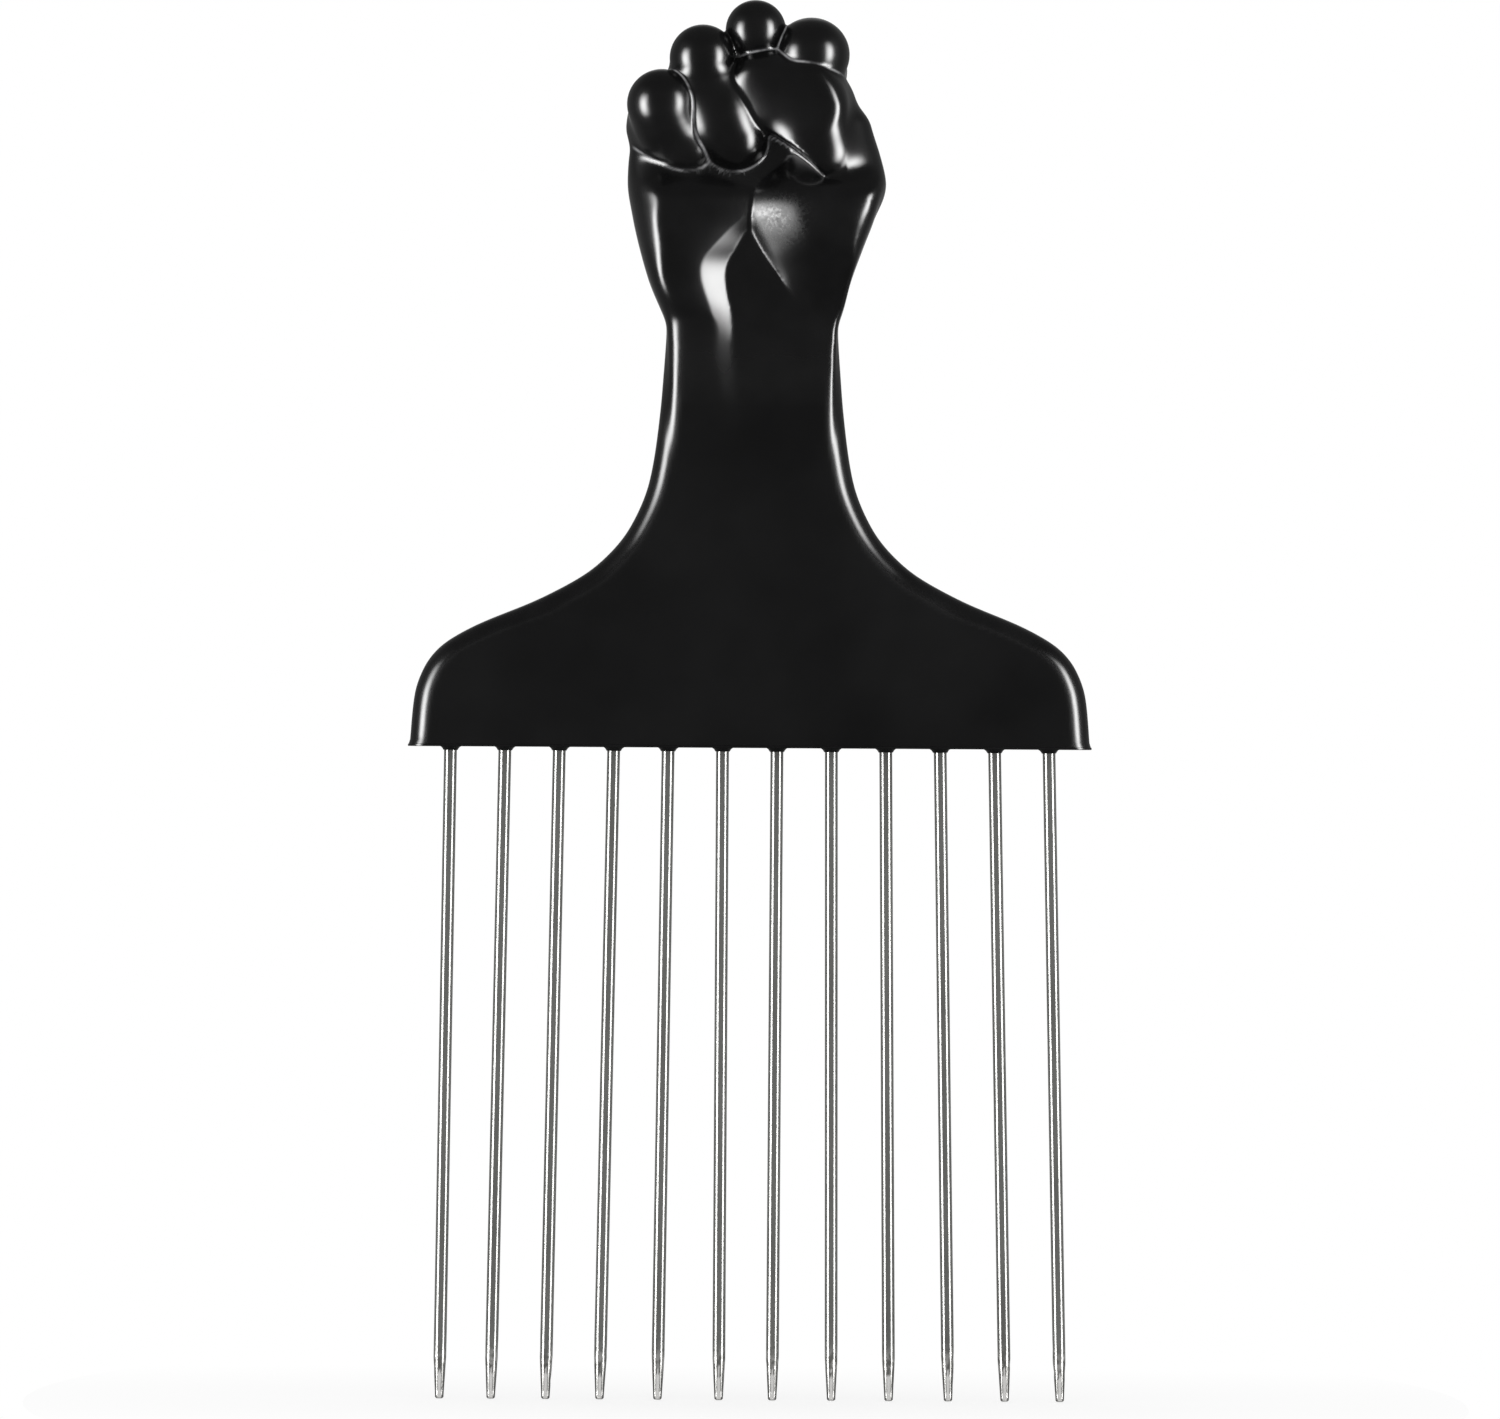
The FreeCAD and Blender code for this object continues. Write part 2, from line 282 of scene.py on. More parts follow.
for index in range(TINE_COUNT):
    mesh = bmesh.new()
    line = [mesh.verts.new((radius, 0.0, height)) for radius, height in tine_profile()]
    edges = [mesh.edges.new(pair) for pair in zip(line, line[1:])]
    bmesh.ops.spin(mesh, geom=line + edges, cent=(0, 0, 0), axis=(0, 0, 1), dvec=(0, 0, 0),
                   angle=2 * math.pi, steps=TINE_SIDES, use_merge=True)
    bmesh.ops.remove_doubles(mesh, verts=mesh.verts, dist=SPIN_MERGE)
    bmesh.ops.recalc_face_normals(mesh, faces=mesh.faces)
    ground_tip(mesh)
    bmesh.ops.transform(mesh, matrix=tine_root(index), verts=mesh.verts)
    wire = piece_from(mesh, f"wire_{index + 1:02d}", tine_steel)
    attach(wire, "root")
    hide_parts(f"tine_{index + 1:02d}")


# Handle: one injection moulding of glossy black plastic. The flat head and wrist have well rounded edges and
# a front that is a little more satin than the rest, with a lighter painted sheen on that front in place of
# the dim reflection its low gloss leaves out. The grip is a right fist in full relief, with the palm and the
# folded fingers to the front.
HEAD_BOTTOM = TINE_LENGTH
SOCKET_TOP = 91.5
SKIN_SIZE = 0.46
MERGE_WITHIN = 0.000002
CUT_WITHIN = 0.000001
COARSE_ROUNDS = 10
FINE_ROUNDS = 8
SEAM_ROUNDS = 5
FINE_ABOVE = 132.0
FINE_BEFORE = 1.0
HALF_THICKNESS = 3.5
EDGE_ROUND = 2.9
HALF_WIDTHS = ((70, 43.2), (81.5, 42.5), (88, 41.9), (91.5, 40.66), (94, 38.7), (96.5, 34.63), (100, 26.3),
               (104, 19.44), (109, 15.08), (115, 12.66), (123, 11.48), (132.5, 10.65), (138.4, 9.6),
               (150, 9.0))
PLATE_TOP = 138.0
LIP_FLARE = 0.2
CUT_ALLOWANCE = 1.5
CREASE_HIGHLIGHT_WIDTH = 0.16
NEAR_SEAM_WIDTH = 0.64
NEAR_SEAM_SHARE = 0.2
RUBBED_MIDDLE = (3.2, -8.0, 147.2)
RUBBED_SIZE = (3.6, 4.0, 3.2)
SATIN_TURN = (0.93, 0.98)
SATIN_TOP = (124.0, 134.0)
PLASTIC_DARK = (0.0030, 0.0030, 0.0031, 1.0)
PLASTIC_LIGHT = (0.0055, 0.0055, 0.0058, 1.0)
# The satin front's lighter tones are a painted sheen: they stand in for the dim reflection that its low gloss
# leaves out.
SATIN_SHEEN_DARK = (0.0070, 0.0070, 0.0072, 1.0)
SATIN_SHEEN_LIGHT = (0.0112, 0.0112, 0.0114, 1.0)
SATIN_SHEEN_SHARE = 0.8
# A light grey painted along the creases of the palm side: a painted highlight for the glint that the glossy
# fillets there catch.
CREASE_HIGHLIGHT_TONE = (0.42, 0.42, 0.43, 1.0)
PLASTIC_IOR = 1.46
PLASTIC_ROUGHNESS = (0.17, 0.22)
RUBBED_ROUGHNESS = (0.08, 0.3)
SATIN_ROUGHNESS = 0.2
GLOSS = 0.5
SATIN_GLOSS = 0.04
FLOW_STRENGTH = 0.08
FLOW_HEIGHT = 0.0003
FLOW_NOISE = (55.0, (1.0, 1.0, 1.0), 2.0)
HAZE_NOISE = (160.0, (1.0, 1.0, 1.0), 4.0)
BROKEN_NOISE = (450.0, (1.0, 1.0, 1.0), 2.0)
GRAIN_NOISE = (2600.0, (1.0, 1.0, 1.0), 2.0)


def smooth_curve(points):
    """A fine sampling of a smooth curve through given points, which never swings past them."""
    at = np.array([point[0] for point in points], float)
    value = np.array([point[1] for point in points], float)
    step = np.diff(at)
    slope = np.diff(value) / step
    bend = np.zeros(len(at))
    for i in range(1, len(at) - 1):
        if slope[i - 1] * slope[i] > 0:
            near = 2 * step[i] + step[i - 1]
            far = step[i] + 2 * step[i - 1]
            bend[i] = (near + far) / (near / slope[i - 1] + far / slope[i])
    bend[0] = slope[0]
    bend[-1] = slope[-1]
    fine = np.arange(60.0, 190.0, 0.1)
    piece = np.clip(np.searchsorted(at, fine) - 1, 0, len(step) - 1)
    t = np.clip((fine - at[piece]) / step[piece], 0.0, 1.0)
    start, end = value[piece], value[piece + 1]
    rise = step[piece]
    curve = (start * (1 + 2 * t) * (1 - t) ** 2 + end * t * t * (3 - 2 * t)
             + rise * bend[piece] * t * (1 - t) ** 2 - rise * bend[piece + 1] * t * t * (1 - t))
    soft = np.exp(-np.linspace(-3, 3, 37) ** 2 / 2)
    return fine, np.convolve(np.pad(curve, 18, mode="edge"), soft / soft.sum(), "valid")


drawn_curves = {}


def along(height, points):
    """The value of a listed curve at each height."""
    if points not in drawn_curves:
        drawn_curves[points] = smooth_curve(points)
    return np.interp(height, *drawn_curves[points])


def joined(first, second, ease):
    """Two forms run together, with a fillet of about this size."""
    near = np.maximum(ease - np.abs(first - second), 0) / ease
    return np.minimum(first, second) - near * near * ease / 4


def kept_inside(first, second, ease):
    """What two forms share, with a rounded edge of about this size."""
    return -joined(-first, -second, ease)


def limb(points, start, end, start_radius, end_radius):
    """Distance from a round limb that swells or tapers between two joints."""
    start, end = np.array(start), np.array(end)
    along_limb = end - start
    square = along_limb @ along_limb
    taper = start_radius - end_radius
    flank = square - taper * taper
    from_start = points - start
    y = from_start @ along_limb
    z = y - square
    off = from_start * square - y[:, None] * along_limb
    x2 = np.einsum("ij,ij->i", off, off)
    y2 = y * y * square
    z2 = z * z * square
    k = np.sign(taper) * taper * taper * x2
    distance = (np.sqrt(x2 * flank / square) + y * taper) / square - start_radius
    before = np.sign(y) * flank * y2 < k
    distance = np.where(before, np.sqrt(x2 + y2) / square - start_radius, distance)
    beyond = np.sign(z) * flank * z2 > k
    return np.where(beyond, np.sqrt(x2 + z2) / square - end_radius, distance)


def egg(points, centre, radii):
    """Distance from an egg-shaped form."""
    off = points - np.array(centre)
    radii = np.array(radii)
    inner = np.linalg.norm(off / radii, axis=1)
    return inner * (inner - 1) / np.maximum(np.linalg.norm(off / radii ** 2, axis=1), 1e-6)


def head_and_wrist(points):
    """The flat plate from the bottom of the head to the wrist, with its rounded edges."""
    x, y, z = points.T
    flare = LIP_FLARE * np.clip((HEAD_BOTTOM + 1.1 - z) / 1.1, 0, 1) ** 2
    side = np.abs(x) - along(z, HALF_WIDTHS) - flare
    slant = (along(z + 0.2, HALF_WIDTHS) - along(z - 0.2, HALF_WIDTHS)) / 0.4
    side = side / np.sqrt(1 + slant * slant) + EDGE_ROUND
    face = np.abs(y) - HALF_THICKNESS - flare + EDGE_ROUND
    rounded = np.hypot(np.maximum(side, 0), np.maximum(face, 0)) + np.minimum(np.maximum(side, face), 0)
    return np.maximum(rounded - EDGE_ROUND, np.maximum(HEAD_BOTTOM - CUT_ALLOWANCE - z, z - PLATE_TOP))


def hand_block(points):
    """The block of the hand: a full rounded section that swells from the wrist to the knuckles."""
    x, y, z = points.T
    centre = along(z, ((108, 0), (124, 0), (130, 0), (135, 0), (140, -0.35), (144, -0.2), (148, 0.1),
                       (152, 0.3), (156, 0), (160, -0.3), (162, 0), (164, 0.4), (166, 0.4), (169, 0.2)))
    width = along(z, ((108, 9), (116, 10.2), (124, 10.5), (130, 10.55), (134, 10.7), (135, 10.95),
                      (136, 11.35), (138, 12.05), (140, 12.7), (144, 14), (148, 15.2), (152, 16),
                      (156, 15.45), (158, 14.75), (160, 13.9), (162, 12.95), (164, 11.75), (166, 10.4),
                      (169, 7)))
    palm = along(z, ((108, 3.3), (116, 3.7), (124, 4.3), (130, 4.9), (134.5, 5.3), (136, 6.1), (138, 7.4),
                     (140, 8.1), (144, 8.7), (148, 9.4), (150.5, 8.9), (152.5, 6.8), (155, 5.2), (160, 4.6),
                     (169, 4)))
    back = along(z, ((108, 3), (116, 3.5), (124, 4.2), (130, 4.8), (135, 5.4), (140, 6.1), (144, 6.6),
                     (148, 7.0), (152, 7.1), (160, 7.0), (165, 6.2), (169, 4.5)))
    depth = np.where(y < 0, palm, back)
    left_corner = along(z, ((108, 5.5), (134, 5.5), (138, 4.6), (142, 3.8), (147, 2.9), (150, 2.6),
                            (153, 2.7), (169, 3.2)))
    right_corner = along(z, ((108, 5.5), (134, 5.5), (140, 8), (151, 8), (154, 5), (158, 3.2),
                             (169, 3.2)))
    corner = left_corner + (right_corner - left_corner) * np.clip(0.5 + x / 8, 0, 1)
    fullness = np.where(y < 0, corner, 2.3)
    u = np.abs((x - centre) / width)
    v = np.abs(y / depth)
    size = np.maximum((u ** fullness + v ** fullness) ** (1 / fullness), 1e-4)
    steep = np.hypot((u / size) ** (fullness - 1) / width, (v / size) ** (fullness - 1) / depth)
    return np.maximum((size - 1) / np.maximum(steep, 0.05), np.maximum(108 - z, z - 169))


def falling(across, knots, slopes):
    """How far a surface falls across a row of knots. Its slope changes evenly from one knot to the next."""
    fall = 0.0
    for near, far, first, last in zip(knots, knots[1:], slopes, slopes[1:]):
        gone = np.clip(across - near, 0, far - near)
        fall = fall + first * gone + (last - first) * gone * gone / (2 * np.maximum(far - near, 0.01))
    return fall + slopes[-1] * np.maximum(across - knots[-1], 0)


def palm_relief(x, z):
    """How far the palm stands forward: the heel of the little finger, the ball of the thumb, and the
    forearm that runs up between them into a point."""
    heel_crest = along(z, ((124, -7.5), (134, -9), (138, -9.8), (141, -10.5), (144, -11), (150, -11.5)))
    heel_edge = along(z, ((124, -3.5), (130, -4.6), (134, -5), (136, -5.3), (138, -5.9), (140, -6.45),
                          (141, -6.5), (142, -6.3), (143, -5.6), (144, -4.7), (145, -3.8), (146, -2.9),
                          (147, -1.8), (148, -0.9), (149, -0.6), (152, -0.5)))
    heel_fall = along(z, ((116, 0), (124, 0.1), (130, 0.19), (134, 0.25), (136, 0.3), (138, 0.34),
                          (146, 0.34), (149, 0.28), (152, 0.28)))
    heel_side = along(z, ((116, 0), (124, 0.16), (130, 0.3), (134, 0.41), (136, 0.47), (138, 0.54),
                          (145, 0.54), (147, 0.42), (148.5, 0.3), (152, 0.28)))
    heel_height = along(z, ((112, 3.3), (116, 3.6), (124, 4.2), (130, 4.9), (134, 5.6), (138, 6.6),
                            (141, 7.1), (144, 7.4), (147, 7.4), (149.5, 7.3), (151.2, 6.5), (153.5, 4.9),
                            (157, 3.9)))
    heel = heel_height - falling(x, (heel_crest, heel_edge - 0.3, heel_edge + 0.3, heel_edge + 2),
                                 (0, heel_fall, heel_side, 1.1 * heel_side))
    foot = along(z, ((132, 6), (138, 4.1), (139, 3.6), (140.3, 3.1), (141, 2.5), (142, 1.7), (143, 0.95),
                     (144, 0.3), (145, -0.15), (146, -0.45), (147, -0.6), (149, -0.75), (151, -0.9)))
    flank = along(z, ((138, 5.6), (140, 4.8), (142, 3.6), (144, 2.3), (146, 1.2), (148, 0.4), (151, 0.2)))
    roll = along(z, ((138, 7.6), (140, 7), (144, 6.2), (146, 5.3), (148, 4.8), (151, 4.6)))
    crest = along(z, ((138, 9), (144, 9.4), (148, 8.8), (152, 8.6)))
    ball_height = along(z, ((128, 3.3), (132, 3.5), (135, 3.95), (138, 5.05), (141, 6.4), (144, 8.3),
                            (146, 9.1), (148, 9.5), (149.3, 9.3), (150.8, 8.6), (152.5, 7.3), (154.5, 5.6),
                            (156, 4.8)))
    ball_fall = along(z, ((136, 0.3), (138, 0.36), (141, 0.55), (144, 0.86), (147, 1), (156, 1)))
    ball = ball_height - ball_fall * falling(-x, (-crest, -roll, -flank, 1.0 - flank), (0, 0.42, 0.70, 1.05))
    ball = ball - 0.36 * np.maximum(foot + 0.5 - x, 0)
    forearm = along(z, ((108, 3.2), (112, 3.4), (124, 3.6), (130, 3.7), (134, 3.86), (138, 4.25),
                        (141, 4.5), (144, 4.6), (147, 4.8), (149, 4.9), (152, 4.8), (156, 4)))
    return kept_inside(kept_inside(heel, forearm, 0.15), ball, 0.15)


def hand_parts(points):
    """The four fingers, the hand with its wrist and head, and the thumb, each as a form of its own."""
    x, y, z = points.T
    hand = kept_inside(hand_block(points), (-y - palm_relief(x, z)) * 0.88, 0.5)
    hand = joined(head_and_wrist(points), hand, 0.5)
    tendons = limb(points, (-7.0, 1.9, 142.6), (-10.9, 4.4, 160.4), 3.6, 4.45)
    tendons = joined(tendons, limb(points, (-3.2, 1.9, 144.3), (-5.8, 4.7, 166.3), 3.6, 4.55), 1.2)
    tendons = joined(tendons, limb(points, (0.5, 1.9, 144.3), (0.7, 4.7, 168.6), 3.6, 4.6), 1.2)
    tendons = joined(tendons, limb(points, (4.2, 1.9, 143.4), (6.8, 4.5, 166.5), 3.6, 4.7), 1.2)
    hand = joined(hand, tendons, 2.0)
    little = joined(limb(points, (-11.4, -5.1, 161.5), (-10.9, -4.4, 160.0), 4.15, 4.2),
                    limb(points, (-8.6, -2.4, 156.9), (-10.2, -2.4, 158.6), 4.4, 4.5), 1.6)
    little = joined(little, limb(points, (-11.8, -1.0, 158.9), (-10.9, 4.4, 160.4), 4.1, 4.45), 0.8)
    little = joined(little, limb(points, (-11.4, -5.1, 161.5), (-10.9, 4.4, 160.4), 4.15, 4.45), 0.8)
    ring = joined(limb(points, (-6.0, -2.2, 163.4), (-4.1, -2.7, 159.8), 5.4, 5.0),
                  limb(points, (-4.1, -2.7, 159.8), (-2.3, -3.3, 157.2), 5.0, 4.1), 1.5)
    ring = joined(ring, limb(points, (-6.35, -3.6, 167.4), (-5.8, 4.7, 166.3), 4.15, 4.55), 0.6)
    middle = joined(limb(points, (0.2, -2.9, 170.95), (1.0, 1.5, 164.0), 3.55, 4.2),
                    limb(points, (0.2, -2.9, 170.95), (0.7, 4.7, 168.6), 3.55, 4.6), 0.8)
    index_finger = joined(egg(points, (7.2, -2.4, 168.0), (4.7, 5.0, 4.5)),
                          limb(points, (7.1, -1.5, 168.0), (6.8, 4.5, 166.5), 4.4, 4.7), 0.8)
    thumb = joined(limb(points, (1.6, -3.2, 163.3), (6.4, -3.5, 161.7), 5.4, 5.4),
                   limb(points, (6.4, -3.5, 161.7), (7.2, -2.6, 157.3), 5.2, 4.2), 1.0)
    thumb = joined(thumb, limb(points, (6.8, -5.6, 164.2), (8.8, -5.6, 160.8), 2.6, 2.6), 1.4)
    slope = np.maximum(0.707 * (6.0 - x) + 0.707 * (163.0 - z), 0)
    thumb_front = -y - (8.35 - 0.038 * slope ** 2 - 0.012 * np.maximum(4.0 - x, 0) ** 2)
    thumb = kept_inside(thumb, thumb_front * 0.92, 0.9)
    thumb = joined(thumb, egg(points, (7.8, -3.7, 155.4), (5.4, 4.7, 4.3)), 3.0)
    under = 158.1 - 0.45 * (x - 1.7) - 0.045 * np.maximum(x - 1.7, 0) ** 2
    thumb = kept_inside(thumb, (under - z) * 0.75, 0.3)
    side = limb(points, (12.1, -2.0, 158.6), (12.8, -3.1, 151.5), 2.4, 3.0)
    hand = joined(hand, side, 2.0)
    return little, ring, middle, index_finger, hand, thumb


def fist(points):
    """The whole handle as one form: negative inside the plastic, positive outside."""
    little, ring, middle, index_finger, hand, thumb = hand_parts(points)
    form = joined(little, ring, 0.5)
    form = joined(form, middle, 0.4)
    form = joined(form, index_finger, 0.5)
    form = joined(form, hand, 0.9)
    return joined(form, thumb, 0.6 + 1.2 * np.clip((points[:, 0] - 9.2) / 2.4, 0, 1))


def seams(points, width):
    """Nearly 1 in the seams on the palm side where two parts of the hand meet, and 0 elsewhere: there the
    mesh is made finer, and a light grey highlight is painted along the creases.
    """
    x, y = points.T[:2]
    little, ring, middle, index_finger, hand, thumb = hand_parts(points)
    under_thumb = 0.6 * np.clip(x - 1, 0, 1) * np.clip((9.5 - x) / 1.5, 0, 1)
    pairs = ((little, ring, 1.0), (np.minimum(little, ring), hand, 1.0), (middle, index_finger, 1.0),
             (np.minimum(middle, index_finger), thumb, 1.0), (hand, thumb, under_thumb))
    crease_highlight = 0.0
    for one, other, share in pairs:
        line = np.exp(-((one - other) / width) ** 2 - (np.minimum(one, other) / 0.4) ** 2)
        crease_highlight = np.maximum(crease_highlight, share * line)
    return crease_highlight * np.clip(-2 - y, 0, 1)


def uphill(points):
    """The outward direction of the form at each point, and how steep it is."""
    reach = 0.03
    here = fist(points)
    climb = np.stack([fist(points + np.array(step)) - here
                      for step in ((reach, 0, 0), (0, reach, 0), (0, 0, reach))], 1) / reach
    steep = np.linalg.norm(climb, axis=1)
    return here, climb / np.maximum(steep, 1e-6)[:, None], np.maximum(steep, 0.3)


def points_of(skin):
    """The points of a mesh, in millimetres."""
    points = np.empty(len(skin.vertices) * 3)
    skin.vertices.foreach_get("co", points)
    return points.reshape(-1, 3) / MM


def settle(skin, rounds):
    """Draw the points of a skin onto the form, and even them out along it."""
    points = points_of(skin)
    edges = np.empty(len(skin.edges) * 2, np.int32)
    skin.edges.foreach_get("vertices", edges)
    edges = edges.reshape(-1, 2)
    count = np.maximum(np.bincount(edges.ravel(), minlength=len(points)), 1)[:, None]
    for turn in range(rounds):
        distance, outward, steep = uphill(points)
        points = points - outward * np.clip(distance / steep, -0.6, 0.6)[:, None]
        if turn < rounds - 2:
            total = np.zeros_like(points)
            for axis in range(3):
                total[:, axis] = np.bincount(edges[:, 0], points[edges[:, 1], axis], len(points))
                total[:, axis] += np.bincount(edges[:, 1], points[edges[:, 0], axis], len(points))
            pull = total / count - points
            pull -= outward * np.einsum("ij,ij->i", pull, outward)[:, None]
            points = points + 0.5 * pull
    skin.vertices.foreach_set("co", (points * MM).ravel())
    skin.update()


def made_finer(skin, chosen):
    """Split the edges that run between chosen points of a skin."""
    mesh = bmesh.new()
    mesh.from_mesh(skin)
    edges = [edge for edge in mesh.edges if all(chosen[vert.index] for vert in edge.verts)]
    bmesh.ops.subdivide_edges(mesh, edges=edges, cuts=1, use_grid_fill=True)
    mesh.to_mesh(skin)
    mesh.free()


def edges_in(geometry):
    """The edges among the parts of a mesh."""
    return [part for part in geometry if isinstance(part, bmesh.types.BMEdge)]


def cut_below(mesh, height):
    """Cut off what lies below a height, and give the edges of the cut."""
    cut = bmesh.ops.bisect_plane(mesh, geom=mesh.verts[:] + mesh.edges[:] + mesh.faces[:], dist=CUT_WITHIN,
                                 plane_co=(0, 0, height * MM), plane_no=(0, 0, 1), clear_inner=True)
    return edges_in(cut["geom_cut"])


def put_mark(skin, name, values):
    """Leave a mark on each point of a mesh for its material to read."""
    skin.attributes.new(name, "FLOAT", "POINT").data.foreach_set("value", values.astype(np.float32))


mesh = bmesh.new()
mesh.from_mesh(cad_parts["handle"].data)
bmesh.ops.remove_doubles(mesh, verts=mesh.verts, dist=MERGE_WITHIN)
drawn_down = bmesh.ops.extrude_edge_only(mesh, edges=cut_below(mesh, SOCKET_TOP))["geom"]
lower = [part for part in drawn_down if isinstance(part, bmesh.types.BMVert)]
bmesh.ops.translate(mesh, vec=(0, 0, (HEAD_BOTTOM - CUT_ALLOWANCE - SOCKET_TOP) * MM), verts=lower)
lower_rim = [edge for edge in edges_in(drawn_down) if all(vert in lower for vert in edge.verts)]
bmesh.ops.edgeloop_fill(mesh, edges=lower_rim)
bmesh.ops.recalc_face_normals(mesh, faces=mesh.faces)
blank = bpy.data.meshes.new("handle_blank")
mesh.to_mesh(blank)
mesh.free()
moulding = bpy.data.objects.new("moulded_handle", blank)
bpy.context.scene.collection.objects.link(moulding)
skin = moulding.modifiers.new("skin", "REMESH")
skin.mode = "VOXEL"
skin.voxel_size = SKIN_SIZE * MM
skinned = bpy.data.meshes.new_from_object(moulding.evaluated_get(bpy.context.evaluated_depsgraph_get()))
moulding.modifiers.clear()
moulding.data = skinned
bpy.data.meshes.remove(blank)
settle(skinned, COARSE_ROUNDS)
points = points_of(skinned)
made_finer(skinned, (points[:, 2] > FINE_ABOVE) & (points[:, 1] < FINE_BEFORE))
settle(skinned, FINE_ROUNDS)
made_finer(skinned, seams(points_of(skinned), NEAR_SEAM_WIDTH) > NEAR_SEAM_SHARE)
settle(skinned, SEAM_ROUNDS)
mesh = bmesh.new()
mesh.from_mesh(skinned)
rim = cut_below(mesh, HEAD_BOTTOM)
bmesh.ops.edgeloop_fill(mesh, edges=rim)
bmesh.ops.recalc_face_normals(mesh, faces=mesh.faces)
for edge in rim:
    edge.smooth = False
for face in mesh.faces:
    face.smooth = True
mesh.to_mesh(skinned)
mesh.free()
points = points_of(skinned)
off = (points - np.array(RUBBED_MIDDLE)) / np.array(RUBBED_SIZE)
outward = np.empty(points.size)
skinned.vertex_normals.foreach_get("vector", outward)
facing_front = np.interp(-outward.reshape(-1, 3)[:, 1], SATIN_TURN, (0, 1))
# The crease mark says where the painted highlight goes.
put_mark(skinned, "crease_highlight", seams(points, CREASE_HIGHLIGHT_WIDTH))
put_mark(skinned, "rubbed", np.exp(-np.einsum("ij,ij->i", off, off)))
# The satin mark also says where the painted sheen goes.
put_mark(skinned, "satin_and_sheen", facing_front * np.interp(points[:, 2], SATIN_TOP, (1, 0)))

black_plastic, tree, shader = material_with_nodes("black_plastic")
shader.inputs["IOR"].default_value = PLASTIC_IOR
flow = noise_in(tree, *FLOW_NOISE)
haze = noise_in(tree, *HAZE_NOISE, 0.3, 0.7, *PLASTIC_ROUGHNESS)
broken = noise_in(tree, *BROKEN_NOISE, 0.38, 0.6, 0.15, 1.0)
grain = noise_in(tree, *GRAIN_NOISE, 0.35, 0.65, *RUBBED_ROUGHNESS)
satin_and_sheen = mark(tree, "satin_and_sheen")
tone = tone_between(tree, haze["Pattern"], 0.35, PLASTIC_DARK, 0.7, PLASTIC_LIGHT)
painted_satin_sheen = tone_between(tree, flow["Pattern"], 0.36, SATIN_SHEEN_DARK, 0.64, SATIN_SHEEN_LIGHT)
# Painted sheen: the satin front is laid over with its lighter tones.
tone = laid_over(tree, worked_out(tree, "MULTIPLY", satin_and_sheen, SATIN_SHEEN_SHARE), tone, painted_satin_sheen)
# Painted highlight: the light grey laid along the creases, broken up by noise.
crease_highlight_share = worked_out(tree, "MULTIPLY", mark(tree, "crease_highlight"), broken["Spread"])
tone = laid_over(tree, crease_highlight_share, tone, CREASE_HIGHLIGHT_TONE)
rubbed = worked_out(tree, "MULTIPLY", mark(tree, "rubbed"), grain["Spread"])
rough = worked_out(tree, "ADD", rubbed, haze["Spread"])
rough = worked_out(tree, "MULTIPLY_ADD", satin_and_sheen, SATIN_ROUGHNESS, rough)
gloss = worked_out(tree, "MULTIPLY_ADD", satin_and_sheen, SATIN_GLOSS - GLOSS, GLOSS)
tree.links.new(tone, shader.inputs["Base Color"])
tree.links.new(rough, shader.inputs["Roughness"])
tree.links.new(gloss, shader.inputs["Specular IOR Level"])
tree.links.new(raised(tree, flow["Pattern"], FLOW_STRENGTH, FLOW_HEIGHT), shader.inputs["Normal"])
skinned.materials.append(black_plastic)
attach(moulding, "root")
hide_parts("handle")


# Lip and collars: a thin rim that stands a little proud along the bottom edge of the head, and a small
# cone of plastic round each wire's root. They come out of the mould in one piece with the handle.
LIP_HEIGHT = 0.3
LIP_EDGE = 0.08
LIP_SEGMENTS = 8
COLLAR_OUTLINE = ((1.35, 0.25), (1.3, -0.02), (1.12, -0.14), (0.98, -0.32), (0.92, -0.45), (0.83, -0.48))
COLLAR_SIDES = 28

mesh = bmesh.new()
width = 2 * (HALF_WIDTHS[1][1] + LIP_FLARE)
depth = 2 * (HALF_THICKNESS + LIP_FLARE)
bmesh.ops.create_cube(mesh, size=1.0)
bmesh.ops.scale(mesh, vec=(width, depth, LIP_HEIGHT), verts=mesh.verts)
bmesh.ops.translate(mesh, vec=(0, 0, HEAD_BOTTOM + LIP_HEIGHT / 2), verts=mesh.verts)
uprights = [edge for edge in mesh.edges if abs(edge.verts[0].co.z - edge.verts[1].co.z) > LIP_HEIGHT / 2]
bmesh.ops.bevel(mesh, geom=uprights, offset=EDGE_ROUND, offset_type="OFFSET", affect="EDGES",
                segments=LIP_SEGMENTS, profile=0.5, material=-1)
ends = [face for face in mesh.faces if abs(face.normal.z) > 0.9]
around = {edge for face in ends for edge in face.edges}
bmesh.ops.bevel(mesh, geom=list(around), offset=LIP_EDGE, offset_type="OFFSET", affect="EDGES",
                segments=3, profile=0.5, material=-1)
lip = piece_from(mesh, "head_lip", black_plastic)
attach(lip, "root")

mesh = bmesh.new()
for index in range(TINE_COUNT):
    ring = bmesh.new()
    line = [ring.verts.new((radius, 0.0, height)) for radius, height in COLLAR_OUTLINE]
    edges = [ring.edges.new(pair) for pair in zip(line, line[1:] + line[:1])]
    bmesh.ops.spin(ring, geom=line + edges, cent=(0, 0, 0), axis=(0, 0, 1), dvec=(0, 0, 0),
                   angle=2 * math.pi, steps=COLLAR_SIDES, use_merge=True)
    bmesh.ops.remove_doubles(ring, verts=ring.verts, dist=SPIN_MERGE)
    bmesh.ops.recalc_face_normals(ring, faces=ring.faces)
    bmesh.ops.transform(ring, matrix=tine_root(index), verts=ring.verts)
    single = bpy.data.meshes.new("collar")
    ring.to_mesh(single)
    ring.free()
    mesh.from_mesh(single)
    bpy.data.meshes.remove(single)
collars = piece_from(mesh, "root_collars", black_plastic)
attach(collars, "root")


